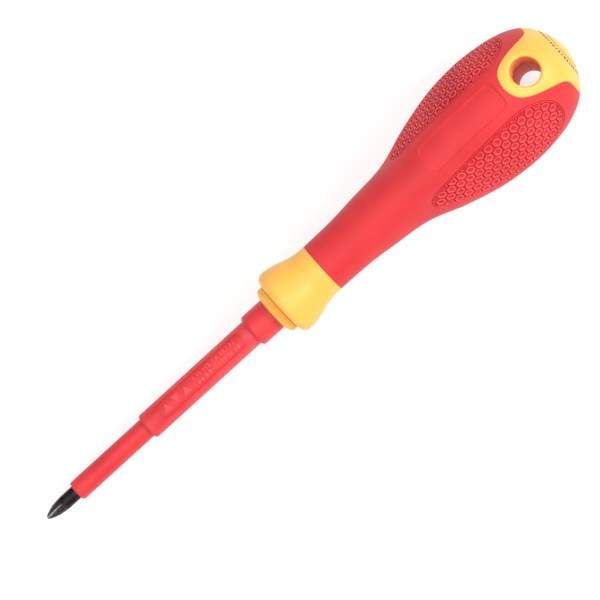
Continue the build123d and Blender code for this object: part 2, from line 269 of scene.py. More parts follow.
# a lighter red painted as highlight on the tops of the sleeve's raised marks
mark_highlight_red = finish_material("mark_highlight_red", srgb(232, 70, 74), srgb(226, 64, 69), srgb(238, 78, 82),
                           0.4, bump=0.10, grain=2600.0, spec=0.5)
shank_red = finish_material("shank_red", srgb(219, 52, 58), srgb(212, 47, 53), srgb(225, 58, 63),
                            0.42, bump=0.10, grain=2600.0, wear_and_highlight=0.35, spec=0.4,
                            wear_and_highlight_colour=srgb(244, 112, 114))
yellow = finish_material("yellow", srgb(255, 192, 84), srgb(255, 186, 76), srgb(255, 199, 94),
                         0.44, bump=0.07, grain=2200.0, wear_and_highlight=0.3,
                         wear_and_highlight_colour=srgb(255, 228, 160), subsurface=0.25)
# the yellow core's hole wall painted darker as shade, orange above the parting line and a pinker
# salmon below
hole_shade_salmon = finish_material("hole_shade_salmon", srgb(252, 112, 46), srgb(248, 104, 40),
                              srgb(248, 116, 72), 0.5, bump=0.08, subsurface=0.3, spec=0.15)
hole_shade_orange = finish_material("hole_shade_orange", srgb(255, 156, 62), srgb(255, 148, 55),
                              srgb(255, 166, 72), 0.5, bump=0.07, subsurface=0.3, spec=0.2)
# a deeper orange painted as shade on the ring's band under the flare
ring_shade_orange = finish_material("ring_shade_orange", srgb(255, 192, 90), srgb(255, 176, 75),
                              srgb(255, 166, 72), 0.5, bump=0.07, subsurface=0.3, spec=0.2)
orange_print = finish_material("orange_print", srgb(112, 74, 50), srgb(100, 64, 42),
                               srgb(126, 84, 58), 0.5, bump=0.05)
black_steel = finish_material("black_steel", srgb(46, 41, 45), srgb(32, 28, 32), srgb(62, 56, 60),
                              0.27, spread=0.08, metal=0.9, bump=0.2, grain=1800.0, wear_and_highlight=0.9,
                              wear_and_highlight_colour=srgb(150, 142, 146), cloud=500.0)
bare_steel = finish_material("bare_steel", srgb(176, 172, 170), srgb(158, 155, 154),
                             srgb(190, 187, 186), 0.32, metal=1.0, bump=0.1, wear_and_highlight=0.4)
spring_steel = finish_material("spring_steel", srgb(150, 148, 150), srgb(130, 128, 132),
                               srgb(170, 168, 170), 0.26, metal=1.0, bump=0.08, wear_and_highlight=0.3)


def wear_the_tip(material, colour):
    """Rubs the blackening off the crests of the four wings, in the blade's own frame."""
    nt = material.node_tree
    shader = nt.nodes["Principled BSDF"]
    before = shader.inputs["Base Color"].links[0].from_socket
    co = nt.nodes.new("ShaderNodeTexCoord")
    shift = nt.nodes.new("ShaderNodeVectorMath")
    shift.operation = "SUBTRACT"
    shift.inputs[1].default_value = tuple(ORIGIN)
    nt.links.new(co.outputs["Object"], shift.inputs[0])

    def along(axis, near, far):
        dot = nt.nodes.new("ShaderNodeVectorMath")
        dot.operation = "DOT_PRODUCT"
        dot.inputs[1].default_value = tuple(axis)
        nt.links.new(shift.outputs["Vector"], dot.inputs[0])
        size = nt.nodes.new("ShaderNodeMath")
        size.operation = "ABSOLUTE"
        nt.links.new(dot.outputs["Value"], size.inputs[0])
        fade = nt.nodes.new("ShaderNodeMapRange")
        fade.inputs["From Min"].default_value = near
        fade.inputs["From Max"].default_value = far
        fade.inputs["To Min"].default_value = 1.0
        fade.inputs["To Max"].default_value = 0.0
        nt.links.new(size.outputs["Value"], fade.inputs["Value"])
        return fade.outputs["Result"]

    def join(a, b, how):
        m = nt.nodes.new("ShaderNodeMath")
        m.operation = how
        nt.links.new(a, m.inputs[0])
        nt.links.new(b, m.inputs[1])
        return m.outputs["Value"]
    crest = join(along(Y_AXIS, 0.00012, 0.00030), along(Z_AXIS, 0.00012, 0.00030), "MAXIMUM")
    rubbed = join(crest, along(X_AXIS, 0.0040, 0.0058), "MULTIPLY")
    patch = nt.nodes.new("ShaderNodeTexNoise")
    patch.inputs["Scale"].default_value = 1500.0
    nt.links.new(co.outputs["Object"], patch.inputs["Vector"])
    lift = nt.nodes.new("ShaderNodeMapRange")
    lift.inputs["From Min"].default_value = 0.25
    lift.inputs["From Max"].default_value = 0.55
    nt.links.new(patch.outputs["Fac"], lift.inputs["Value"])
    rubbed = join(rubbed, lift.outputs["Result"], "MULTIPLY")
    mix = nt.nodes.new("ShaderNodeMixRGB")
    mix.inputs["Color2"].default_value = colour
    nt.links.new(rubbed, mix.inputs["Fac"])
    nt.links.new(before, mix.inputs["Color1"])
    nt.links.new(mix.outputs["Color"], shader.inputs["Base Color"])


wear_the_tip(black_steel, srgb(176, 168, 172))
NODE_MATERIAL = {"handle_core": yellow, "soft_grip": grip_red, "front_bush": bare_steel,
                 "bit_socket": bare_steel, "return_spring": spring_steel,
                 "lock_clip": spring_steel, "release_ring": yellow,
                 "release_sleeve": bare_steel, "phillips_blade": black_steel,
                 "inner_sleeve": shank_red, "marking_sleeve": shank_red,
                 "blade_collar": shank_red}
for name, obj in nodes.items():
    for s in obj.material_slots:
        s.material = NODE_MATERIAL[name]

# ---------------------------------------------------------------------------
# flat outlines
# ---------------------------------------------------------------------------
def inset(loop, d):
    """Moves a closed loop inwards by d."""
    pts = np.array(loop)
    nxt, prv = np.roll(pts, -1, 0), np.roll(pts, 1, 0)
    t = nxt - prv
    t /= np.linalg.norm(t, axis=1)[:, None] + 1e-12
    normal = np.stack([-t[:, 1], t[:, 0]], 1)
    middle = pts.mean(0)
    if np.sum((middle - pts) * normal) < 0:
        normal = -normal
    return pts + normal * d


def clip_convex(poly, loop):
    """Clips a polygon to a convex loop."""
    area = sum(loop[i - 1][0] * loop[i][1] - loop[i][0] * loop[i - 1][1] for i in range(len(loop)))
    if area < 0:
        loop = loop[::-1]
    out = [tuple(p) for p in poly]
    for i in range(len(loop)):
        a, b = loop[i - 1], loop[i]
        if not out:
            break
        src, out = out, []

        def side(p):
            return (b[0] - a[0]) * (p[1] - a[1]) - (b[1] - a[1]) * (p[0] - a[0])
        for j in range(len(src)):
            p, q = src[j - 1], src[j]
            sp, sq = side(p), side(q)
            if (sp >= 0) != (sq >= 0):
                t = sp / (sp - sq)
                out.append((p[0] + t * (q[0] - p[0]), p[1] + t * (q[1] - p[1])))
            if sq >= 0:
                out.append(q)
    return out


def resample(poly, n):
    """n points at equal distances along a closed outline."""
    p = np.array(poly)
    seg = np.linalg.norm(np.roll(p, -1, 0) - p, axis=1)
    s = np.concatenate([[0], np.cumsum(seg)])
    closed = np.vstack([p, p[:1]])
    t = np.linspace(0, s[-1], n, endpoint=False)
    return np.stack([np.interp(t, s, closed[:, 0]), np.interp(t, s, closed[:, 1])], 1)


def poly_area(p):
    p = np.array(p)
    q = np.roll(p, -1, 0)
    return abs(np.sum(p[:, 0] * q[:, 1] - q[:, 0] * p[:, 1])) / 2


# ---------------------------------------------------------------------------
# handle: yellow core and red soft grip, built as closed meshes from the same sections
# ---------------------------------------------------------------------------
COLUMNS = 240
THETA = np.linspace(0, 2 * math.pi, COLUMNS, endpoint=False) + math.radians(100)
HOLE_X, HOLE_R = 172.3, 4.0
PARTING_STEP = 0.15          # the lower part of the hole is this much narrower
CORE_FRONT = 98.72           # where the core steps down under the grip
SKIN_DEPTH = 0.6             # arc lengths are taken this far under the mean skin
WINDOW_MID, WINDOW_SWING, WINDOW_HALF_DEG, WINDOW_SOFT_DEG = 172.2, 7.2, 27.0, 12.0


def grip_thickness(x):
    return 1.4 + 0.9 * smooth(x, GRIP_FRONT, 145)


def window_line(theta):
    """The rear edge of the red grip, which dips round the hole on the label side only."""
    deg = np.degrees(theta)
    rel = np.minimum(np.abs((deg + 180) % 360 - 180), 60)
    return WINDOW_MID + WINDOW_SWING * np.tanh((rel - WINDOW_HALF_DEG) / WINDOW_SOFT_DEG)


def spline(points, start, end, count):
    """Cubic spline through points by chord length with given end directions."""
    p = np.asarray(points, float)
    s = np.concatenate([[0], np.cumsum(np.linalg.norm(np.diff(p, axis=0), axis=1))])
    h, n = np.diff(s), len(p)
    a, rhs = np.zeros((n, n)), np.zeros((n, 2))
    a[0, 0] = a[-1, -1] = 1
    rhs[0], rhs[-1] = start, end
    for i in range(1, n - 1):
        a[i, i - 1], a[i, i], a[i, i + 1] = 1 / h[i - 1], 2 / h[i - 1] + 2 / h[i], 1 / h[i]
        rhs[i] = 3 * ((p[i] - p[i - 1]) / h[i - 1] ** 2 + (p[i + 1] - p[i]) / h[i] ** 2)
    m = np.linalg.solve(a, rhs)
    t = np.linspace(0, s[-1], count)
    i = np.clip(np.searchsorted(s, t) - 1, 0, n - 2)
    u = ((t - s[i]) / h[i])[:, None]
    hh = h[i][:, None]
    return ((1 + 2 * u) * (1 - u) ** 2 * p[i] + u * (1 - u) ** 2 * hh * m[i]
            + u * u * (3 - 2 * u) * p[i + 1] + u * u * (u - 1) * hh * m[i + 1])


# mean outline from the neck to the pole, by length along it
BACK = spline([q for q in STATIONS if q[0] < 184.0] + [(BUTT_END, 0.0)], (1, 0.02), (0, -1), 4000)
# a hair under the CAD skin at the belly, so that the cells stay inside the CAD box
BACK[:, 1] -= 0.05 * smooth(BACK[:, 0], 125, 148) * (1 - smooth(BACK[:, 0], 170, 180))
BACK_S = np.concatenate([[0], np.cumsum(np.linalg.norm(np.diff(BACK, axis=0), axis=1))])
RISING = BACK[:, 0] <= 184.3


def mean_radius(x):
    return np.interp(x, BACK[RISING, 0], BACK[RISING, 1])


def radius(x, theta):
    """The grip's three-lobed section: how far the skin is from the axis."""
    return mean_radius(x) + lobe(x) * np.cos(3 * theta)


def surface(x, theta, out):
    """Points on the skin in the tool's frame, moved outwards by out."""
    return polar(x, theta, radius(x, theta) + out)


def quads(a, b, n):
    """The faces between two rings of n vertices, which start at a and at b."""
    return [(a + j, a + (j + 1) % n, b + (j + 1) % n, b + j) for j in range(n)]


def rings_to_mesh(rings, closed_ends):
    """Closed skin from rings of equal length: "loop" joins the last ring to the first,
    "poles" closes each end on a point and "caps" with one flat face."""
    n, count = len(rings[0]), len(rings)
    verts = np.concatenate(rings)
    faces = []
    for k in range(count if closed_ends == "loop" else count - 1):
        faces += quads(k * n, ((k + 1) % count) * n, n)
    if closed_ends == "caps":
        faces += [tuple(range(n)), tuple(range(len(verts) - n, len(verts)))]
    if closed_ends == "poles":
        poles = np.stack([rings[0].mean(0), rings[-1].mean(0)])
        verts = np.concatenate([verts, poles])
        p, q, e = len(verts) - 2, len(verts) - 1, (count - 1) * n
        for j in range(n):
            j2 = (j + 1) % n
            faces.append((p, j2, j))
            faces.append((q, e + j, e + j2))
    return verts, faces


def raw_mesh(name, verts, faces):
    """A closed shell for the booleans, its normals pointing outwards."""
    mesh = bpy.data.meshes.new(name)
    mesh.from_pydata([tuple(v) for v in verts], [], [tuple(f) for f in faces])
    bm = bmesh.new()
    bm.from_mesh(mesh)
    bmesh.ops.recalc_face_normals(bm, faces=bm.faces)
    bm.to_mesh(mesh)
    bm.free()
    return mesh


def carve(verts, faces, cutters, name, material, body):
    """Cuts closed cutter shells out of a closed mesh and makes the piece."""
    obj = bpy.data.objects.new(name + "_raw", raw_mesh(name + "_raw", verts, faces))
    scene.collection.objects.link(obj)
    tools = []
    for i, (cv, cf) in enumerate(cutters):
        tool = bpy.data.objects.new(name + "_cut%d" % i, raw_mesh(name + "_cut%d" % i, cv, cf))
        scene.collection.objects.link(tool)
        tools.append(tool)
        mod = obj.modifiers.new("cut%d" % i, "BOOLEAN")
        mod.operation, mod.solver, mod.object = "DIFFERENCE", "EXACT", tool
    dg = bpy.context.evaluated_depsgraph_get()
    done = bpy.data.meshes.new_from_object(obj.evaluated_get(dg))
    for o in [obj] + tools:
        bpy.data.objects.remove(o)
    bm = bmesh.new()
    bm.from_mesh(done)
    bmesh.ops.remove_doubles(bm, verts=bm.verts, dist=2e-6)
    bmesh.ops.dissolve_degenerate(bm, edges=bm.edges, dist=1e-6)
    shade_by_angle(bm, 32.0)
    bm.to_mesh(done)
    bm.free()
    done.materials.clear()
    done.materials.append(material)
    return add_piece(name, done, body)


def hole_cutter():
    """The hanging hole with rounded rims that follow the handle's curved skin."""
    phi = np.linspace(0, 2 * math.pi, 96, endpoint=False)

    def on_skin(rho, sign):
        x, y = HOLE_X + rho * np.cos(phi), rho * np.sin(phi)
        z = sign * np.full_like(x, 15.0)
        for _ in range(12):
            r = radius(x, np.arctan2(y, z))
            z = sign * np.sqrt(np.maximum(r * r - y * y, 1.0))
        return x, y, z

    def ring(rho, sign, lift):
        x, y, z = on_skin(rho, sign)
        return to_row(np.stack([x, y, z + sign * lift], -1))

    def flat(rho, z):
        return to_row(np.stack([HOLE_X + rho * np.cos(phi), rho * np.sin(phi),
                                np.full_like(phi, z)], -1))
    rings = [flat(0.4, 24.0), flat(5.8, 24.0), ring(5.65, 1, 0.35)]
    for t in np.linspace(0.97, 0.0, 10):
        a = t * math.pi / 2
        rings.append(ring(HOLE_R + 1.25 * (1 - math.cos(a)), 1, -1.15 * (1 - math.sin(a)) + 0.012))
    rings += [flat(HOLE_R, z) for z in (12.0, 9.0, 6.0, 3.2, 3.0)]
    lower_r = HOLE_R - PARTING_STEP
    rings += [flat(lower_r, z) for z in (2.9, -1.0, -4.0, -7.0, -10.0)]
    for t in np.linspace(0.0, 0.97, 8):
        a = t * math.pi / 2
        rings.append(ring(lower_r + 0.8 * (1 - math.cos(a)), -1, -0.8 * (1 - math.sin(a)) + 0.012))
    rings += [ring(5.1, -1, 0.35), flat(5.6, -24.0), flat(0.4, -24.0)]
    return rings_to_mesh(rings, "poles")


def pocket_cutter(loop, centre_deg, profile):
    """A shallow pocket under the skin: loop in (x, v), profile of (outward offset, height)."""
    centre = math.radians(centre_deg)
    rings = []
    for f in (0.05, 0.3, 0.55, 0.8):
        p = np.array(loop)
        mid = p.mean(0)
        rings.append((mid + f * (p - mid), profile[0][1]))
    rings += [(inset(loop, -o), h) for o, h in profile]
    for f in (0.8, 0.4, 0.05):
        p = inset(loop, -profile[-1][0])
        mid = p.mean(0)
        rings.append((mid + f * (p - mid), profile[-1][1]))
    out = []
    for p, h in rings:
        th = centre + p[:, 1] / (mean_radius(p[:, 0]) - SKIN_DEPTH)
        out.append(to_row(surface(p[:, 0], th, h)))
    return rings_to_mesh(out, "poles")


def label_loop():
    """The rounded rectangle of a label face."""
    x0, x1, w, c = 137.4, 163.4, 7.3 / 2, 1.7
    pts = []
    for cx, cy, a0 in ((x1 - c, w - c, 0), (x0 + c, w - c, 90),
                       (x0 + c, c - w, 180), (x1 - c, c - w, 270)):
        for a in np.linspace(a0, a0 + 90, 10):
            pts.append((cx + c * math.cos(math.radians(a)), cy + c * math.sin(math.radians(a))))
    return resample(pts, 160)


OVAL_FRONT, OVAL_WIDEST, OVAL_END = 131.4, 161.0, 173.2
UNDER_OVAL_END = 166.0       # the one underneath stops short of the hole
OVAL_HALF_DEG = 36.5


def oval_widest(x_end):
    return OVAL_WIDEST - 0.8 * (OVAL_END - x_end)


def oval_half_angle(x, x_end):
    """Half the angle that the oval spans round the handle at x."""
    widest = oval_widest(x_end)
    if x < widest:
        s, p, q = (widest - x) / (widest - OVAL_FRONT), 1.7, 3.0
    else:
        s, p, q = (x - widest) / (x_end - widest), 2.2, 2.4
    return math.radians(OVAL_HALF_DEG) * max(0.0, 1 - min(1.0, s) ** p) ** (1 / q)


def oval_outline(x_end):
    """The oval in (x, v), v along the skin round the handle, as one closed loop."""
    widest = oval_widest(x_end)
    us = np.linspace(0, math.pi, 120)
    xs = [widest + (x_end - widest) * math.cos(u) if math.cos(u) > 0
          else widest + (widest - OVAL_FRONT) * math.cos(u) for u in us]
    side = [(x, oval_half_angle(x, x_end) * (float(mean_raw(x)) - SKIN_DEPTH)) for x in xs]
    return side + [(x, -v) for x, v in reversed(side[1:-1])]


def build_grip():
    """The red soft grip with its label faces, oval beds and half of the hole."""
    xb = window_line(THETA)
    front = np.full(COLUMNS, GRIP_FRONT)
    rings = []

    def ring(x, out):
        rings.append(to_row(polar(x, THETA, radius(x, THETA) + out)))
    for dx, out in ((0, -1.3), (0, -0.6), (0, -0.10), (0.03, -0.03), (0.10, 0.0)):
        ring(front + dx, out)
    for u in np.linspace(0, 1, 164)[1:-1]:
        ring(front + 0.10 + (xb - 0.08 - front - 0.10) * u, 0.0)
    for dx, out in ((0.08, 0.0), (0.02, -0.02), (0, -0.07), (0, -0.6)):
        ring(xb - dx, out)
    for u in np.linspace(1, 0, 30):
        x = front + (xb - front) * u
        ring(x, -grip_thickness(x))
    verts, faces = rings_to_mesh(rings, "loop")
    rim = [(0.0, None), (0.03, -0.10), (0.07, -0.03), (0.20, 0.03), (0.5, 0.25), (0.5, 1.2)]
    cutters = []
    for deg in (0, 120, 240):
        prof = [(-0.16, -0.25), (-0.05, -0.22), (0.0, -0.16)] + rim[1:]
        cutters.append(pocket_cutter(label_loop(), deg, prof))
    for deg, x_end, deep in ((60, OVAL_END, 0.35), (-60, OVAL_END, 0.35),
                             (180, UNDER_OVAL_END, 0.70)):
        prof = [(-0.12, -deep), (-0.02, -deep + 0.08), (0.0, -deep + 0.14)] + rim[1:]
        cutters.append(pocket_cutter(resample(oval_outline(x_end), 260), deg, prof))
    cutters.append(hole_cutter())
    piece = carve(verts, faces, cutters, "grip_skin", grip_red, "handle")
    mesh = piece.data
    mesh.materials.append(painted_shade_red)
    # the floors of the oval beds take the darker red, painted shade in the recess
    for f in mesh.polygons:
        x, y, z = in_tool(f.center)
        theta = math.atan2(y, z)
        deep = float(radius(x, theta)) - math.hypot(y, z)
        from_oval = abs(math.degrees(theta) % 120 - 60)
        if 0.24 < deep < 0.8 and from_oval < 37 and 131 < x < 173.5:
            f.material_index = 1
    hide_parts("soft_grip")


def build_core():
    """The yellow core: flare, the body under the grip, and the butt round the hole."""
    rings = []
    plain = np.zeros(COLUMNS)

    def turned(x, r):
        rings.append(to_row(polar(plain + x, THETA, plain + r)))
    for x, r in ((122.5, 0.05), (122.5, 2.0), (122.5, 4.2), (110, 4.2), (100, 4.2), (95.4, 4.2),
                 (95.4, 5.4), (95.4, 6.5), (91, 6.5), (86.5, 6.5), (86.5, 7.0), (85, 7.0),
                 (83.62, 7.0), (83.53, 7.05), (83.5, 7.15)):
        turned(x, r)
    flare = spline([(83.5, 7.25), (84.2, 9.2), (87.1, 9.7), (90.7, 8.8), (93.9, 7.85),
                    (CORE_FRONT, 7.42)], (0, 1), (1, 0), 60)
    # the curve swells past its points, and is brought back inside the CAD flare
    flare[:, 1] -= (flare[:, 1].max() - 9.69) * smooth(flare[:, 1], 8.6, 9.7)
    for x, r in flare:
        turned(x, r)
    xb = window_line(THETA)

    def ring(x, out):
        rings.append(to_row(polar(x, THETA, radius(x, THETA) + out)))
    for u in np.linspace(0, 1, 50):
        x = CORE_FRONT + (xb + 0.01 - CORE_FRONT) * u
        ring(x, -grip_thickness(x) - 0.04)
    s_of_x = np.interp(xb + 0.01, BACK[RISING, 0], BACK_S[RISING])
    ring(xb + 0.01, -0.8)
    for ds, out in ((0.0, -0.07), (0.02, -0.02)):
        ring(xb + 0.01 + ds, out)
    for u in np.linspace(0, 1, 100)[:-1]:
        s = s_of_x + 0.09 + (BACK_S[-1] - s_of_x - 0.09) * (u ** 0.92)
        x = np.interp(s, BACK_S, BACK[:, 0])
        r = np.interp(s, BACK_S, BACK[:, 1]) + lobe(x) * np.cos(3 * THETA) * np.minimum(
            1, np.interp(s, BACK_S, BACK[:, 1]) / 4.0)
        rings.append(to_row(polar(x, THETA, r)))
    verts, faces = rings_to_mesh(rings, "poles")
    piece = carve(verts, faces, [hole_cutter()], "handle_body", yellow, "handle")
    mesh = piece.data
    mesh.materials.append(hole_shade_salmon)
    mesh.materials.append(hole_shade_orange)
    # the hole's wall is painted shade: orange above the parting line and salmon below it
    for f in mesh.polygons:
        x, y, z = in_tool(f.center)
        if math.hypot(x - HOLE_X, y) < HOLE_R + 0.02:
            f.material_index = 1 if z < 3.05 else 2
    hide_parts("handle_core")


# ---------------------------------------------------------------------------
# honeycomb grip pads: separate raised cells in the three oval beds
# ---------------------------------------------------------------------------
PITCH_X, PITCH_V = 2.81, 2.6
CELL_FOOT = -0.35 - 0.12        # below the floor of the bed
CELL_DIMPLE = -0.34
# each cell as rings of (share of its size, height), and the tone of the band after each: 1 is a
# painted highlight on the top, 2 painted shade in the groove and the dimple
CELL_RINGS = [(1.00, CELL_FOOT), (0.98, -0.22), (0.93, -0.05), (0.87, 0.0), (0.68, 0.0),
              (0.61, -0.05), (0.49, -0.29), (0.43, -0.33), (0.2, CELL_DIMPLE)]
CELL_TONES = (2, 2, 0, 1, 1, 0, 2, 2)
RIM_RINGS = ((0.15, CELL_FOOT), (0.16, -0.14), (0.20, -0.04), (0.26, 0.0), (0.40, 0.0),
             (0.46, -0.04), (0.50, -0.14), (0.51, CELL_FOOT))
ROW_START = 134.92


def honeycomb(name, centre_deg, x_end, mirror, sunk=0.0):
    """One oval of cells with the raised border round it."""
    loop = [tuple(p) for p in inset(oval_outline(x_end), 0.62)]
    centre = math.radians(centre_deg)
    verts, faces, tones = [], [], []
    half = PITCH_X / 2 - 0.16
    stretch = PITCH_V / (PITCH_X * math.sqrt(3) / 2)
    for row in range(-8, 9):
        v0 = (-0.5 + PITCH_V * row) * (-1 if mirror else 1)
        start = ROW_START if row % 2 else ROW_START - 1.38
        for i in range(-3, 16):
            x0 = start + PITCH_X * i
            corners = []
            for k in range(6):
                a0 = math.radians(90 + 60 * k)
                for da, f in ((-5, 0.972), (0, 0.99), (5, 0.972)):
                    a = a0 + math.radians(da)
                    c = half / math.cos(math.radians(30)) * f
                    corners.append((x0 + c * math.cos(a), v0 + c * math.sin(a) * stretch))
            full = poly_area(corners)
            cut = clip_convex(corners, loop)
            if len(cut) < 3 or poly_area(cut) < 0.10 * full:
                continue
            whole = poly_area(cut) > 0.999 * full
            ring = np.array(cut) if whole else resample(cut, 24)
            mid = np.array([x0, v0]) if poly_area(cut) > 0.8 * full else ring.mean(0)
            base, n = len(verts), len(ring)
            for f, h in CELL_RINGS:
                p = mid + f * (ring - mid)
                x, v = p[:, 0], p[:, 1]
                th = centre + v / (mean_raw(x) - SKIN_DEPTH)
                verts.extend(to_row(surface(x, th, h - sunk)))
            x, v = mid
            th = centre + v / (mean_raw(x) - SKIN_DEPTH)
            verts.append(to_row(surface(np.array(x), np.array(th), CELL_DIMPLE - sunk)))
            verts.append(to_row(surface(np.array(x), np.array(th), CELL_FOOT - sunk)))
            top, under = len(verts) - 2, len(verts) - 1
            for k, tone in enumerate(CELL_TONES):
                faces += quads(base + k * n, base + (k + 1) * n, n)
                tones += [tone] * n
            last = base + (len(CELL_RINGS) - 1) * n
            for j in range(n):
                j2 = (j + 1) % n
                faces.append((last + j, last + j2, top))
                faces.append((base + j2, base + j, under))
                # the dimple's centre and the underside take painted shade
                tones += [2, 2]
    outline = resample(oval_outline(x_end), 200)
    base, n = len(verts), len(outline)
    for o, h in RIM_RINGS:
        p = inset(outline, o)
        th = centre + p[:, 1] / (mean_raw(p[:, 0]) - SKIN_DEPTH)
        verts.extend(to_row(surface(p[:, 0], th, h - sunk)))
    for k in range(len(RIM_RINGS)):
        faces += quads(base + k * n, base + ((k + 1) % len(RIM_RINGS)) * n, n)
        tones += [0] * n
    return make_object(name, verts, faces, hex_red, "handle", angle=50,
                       more=(painted_highlight_red, painted_shade_red), tones=tones)


honeycomb("grip_cells_right", -60, OVAL_END, False)
honeycomb("grip_cells_left", 60, OVAL_END, True)
honeycomb("grip_cells_under", 180, UNDER_OVAL_END, False, sunk=0.35)
build_grip()
build_core()


# ---------------------------------------------------------------------------
# thin sleeve, release ring and return spring
# ---------------------------------------------------------------------------
def turned_mesh(outline, n):
    """A closed outline in (x, radius) turned round the tool's axis."""
    theta = np.linspace(0, 2 * math.pi, n, endpoint=False)
    rings = [to_row(polar(np.full(n, x), theta, np.full(n, r))) for x, r in outline]
    return rings_to_mesh(rings, "loop")


def build_thin_sleeve():
    """The thin sleeve on the blade, its front edge well rounded."""
    outline = [(10.4, 2.01), (10.4, 2.12)]
    for a in np.linspace(0, math.pi / 2, 9):
        outline.append((10.4 + 0.8 * (1 - math.cos(a)), 2.15 + 0.75 * math.sin(a)))
    outline += [(x, 2.9) for x in np.linspace(11.6, 84.2, 60)]
    outline += [(84.4, 2.86), (84.5, 2.75), (84.5, 2.01)]
    outline += [(x, 2.01) for x in np.linspace(80, 14, 12)]
    verts, faces = turned_mesh(outline, 96)
    piece = make_object("thin_sleeve", verts, faces, shank_red, "blade")
    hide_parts("inner_sleeve")


build_thin_sleeve()


def build_ring():
    """The release ring: a domed front, and behind it a band up to the flare in a deeper orange,
    painted shade under the flare.
    """
    columns, shade_band_first, shade_band_last = 160, 20, 35
    dome = spline([(80.8, 4.87), (81.05, 5.9), (82.2, 7.08)], (0, 1), (1, 0.05), 26)
    outline = [tuple(p) for p in dome]
    outline += [(82.4, 7.09), (82.6, 7.09), (82.8, 7.09), (83.0, 7.09), (83.15, 7.08),
                (83.28, 7.05), (83.38, 6.98), (83.44, 6.88), (83.46, 6.76), (83.46, 6.1),
                (83.46, 5.46), (82.6, 5.46), (81.7, 5.46), (81.7, 4.87), (81.3, 4.87)]
    verts, faces = turned_mesh(outline, columns)
    tones = []
    # faces of the band take the deeper orange of painted shade
    for k in range(len(outline)):
        tones += [1 if shade_band_first <= k <= shade_band_last else 0] * columns
    piece = make_object("ring_body", verts, faces, yellow, "release",
                        more=(ring_shade_orange,), tones=tones)
    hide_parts("release_ring")


build_ring()


def build_spring():
    """The coil spring behind the bush, with closed end turns."""
    front, back, wire, mean, turns, travel = 86.6, 94.0, 0.5, 11.7, 8.5, 3.0
    turn = np.linspace(0, turns, int(turns * 40) + 1)
    closed = smooth(turn, 0.5, 1.2) * (1 - smooth(turn, turns - 1.2, turns - 0.5))
    pitch = 0.56 + closed
    run = np.concatenate([[0], np.cumsum((pitch[1:] + pitch[:-1]) / 2 * np.diff(turn))])
    free = np.concatenate([[0], np.cumsum((closed[1:] + closed[:-1]) / 2 * np.diff(turn))])
    run += free * ((back - front - wire - run[-1]) / free[-1])
    angle = 2 * math.pi * turn
    centre = np.stack([front + wire / 2 + run, mean / 2 * np.cos(angle),
                       mean / 2 * np.sin(angle)], -1)
    along = np.gradient(centre, axis=0)
    along /= np.linalg.norm(along, axis=1, keepdims=True)
    outward = np.stack([0 * angle, np.cos(angle), np.sin(angle)], -1)
    side = np.cross(along, outward)
    around = np.linspace(0, 2 * math.pi, 14, endpoint=False)[:, None]
    rings = []
    for c, o, s in zip(centre, outward, side):
        rings.append(to_row(c + 0.998 * wire / 2 * (np.cos(around) * o + np.sin(around) * s)))
    verts, faces = rings_to_mesh(rings, "caps")
    piece = make_object("coil_spring", verts, faces, spring_steel, "handle")
    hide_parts("return_spring")
    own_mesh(piece)


build_spring()

# ---------------------------------------------------------------------------
# raised marks on the sleeve's panel: plain bars and triangles, no lettering
# ---------------------------------------------------------------------------
SLEEVE_R, PANEL_DEPTH = 7.55 / 2, 0.15
MARK_TOP, MARK_FOOT = -0.005, -PANEL_DEPTH - 0.04
TRIANGLE_HALF, BAR_HALF_HEIGHT, BARS_END = 1.5, 0.72, 69.2


def raised_shape(outline, verts, faces, tones, bevel):
    """A low raised pad with a sloped rim, its outline given in (x, arc length)."""
    def on_sleeve(x, v, h):
        return to_row(polar(x, v / SLEEVE_R, SLEEVE_R + h))
    p = np.array(outline)
    mid = p.mean(0)
    base, n = len(verts), len(p)
    for f, h in ((1.0, MARK_FOOT), (0.97, MARK_TOP - 0.04), (bevel, MARK_TOP)):
        q = mid + f * (p - mid)
        verts.extend(on_sleeve(q[:, 0], q[:, 1], h))
    for h in (MARK_TOP, MARK_FOOT):
        verts.append(on_sleeve(mid[0], mid[1], h))
    # the steep foot of the rim takes painted shade (tone 2), the flat top a painted highlight
    # (tone 1)
    for k, tone in enumerate((2, 0)):
        faces += quads(base + k * n, base + (k + 1) * n, n)
        tones += [tone] * n
    last = base + 2 * n
    for j in range(n):
        j2 = (j + 1) % n
        faces.append((last + j, last + j2, len(verts) - 2))
        faces.append((base + j2, base + j, len(verts) - 1))
        tones += [1, 0]


def bar(x, y, dx, dy, lean):
    """A rounded bar outline: centre, half sizes, lean along x."""
    c = min(dx, dy) * 0.45
    pts = [(-dx + c, -dy), (dx - c, -dy), (dx, -dy + c), (dx, dy - c),
           (dx - c, dy), (-dx + c, dy), (-dx, dy - c), (-dx, -dy + c)]
    return [(x + px + lean * py, y + py) for px, py in pts]


verts, faces, mark_tones = [], [], []
for x, turn in ((43.6, 1), (47.1, -1), (50.6, 1)):
    tri = [(x - TRIANGLE_HALF, -turn * 1.45), (x + TRIANGLE_HALF, -turn * 1.45), (x, turn * 1.55)]
    raised_shape(resample(tri, 24), verts, faces, mark_tones, 0.86)
for row_y, x in ((1.0, 54.0), (-1.05, 53.4)):
    while x < BARS_END:
        w = random.choice((0.22, 0.3, 0.42))
        h = BAR_HALF_HEIGHT * random.choice((0.8, 1.0, 1.0))
        lean = random.choice((-0.25, 0.0, 0.25))
        raised_shape(bar(x, row_y, w, h, lean), verts, faces, mark_tones, 0.8)
        x += 2 * w + random.choice((0.35, 0.42, 0.75))
make_object("sleeve_marks", verts, faces, shank_red, "blade", angle=35,
            more=(mark_highlight_red, painted_shade_red), tones=mark_tones)

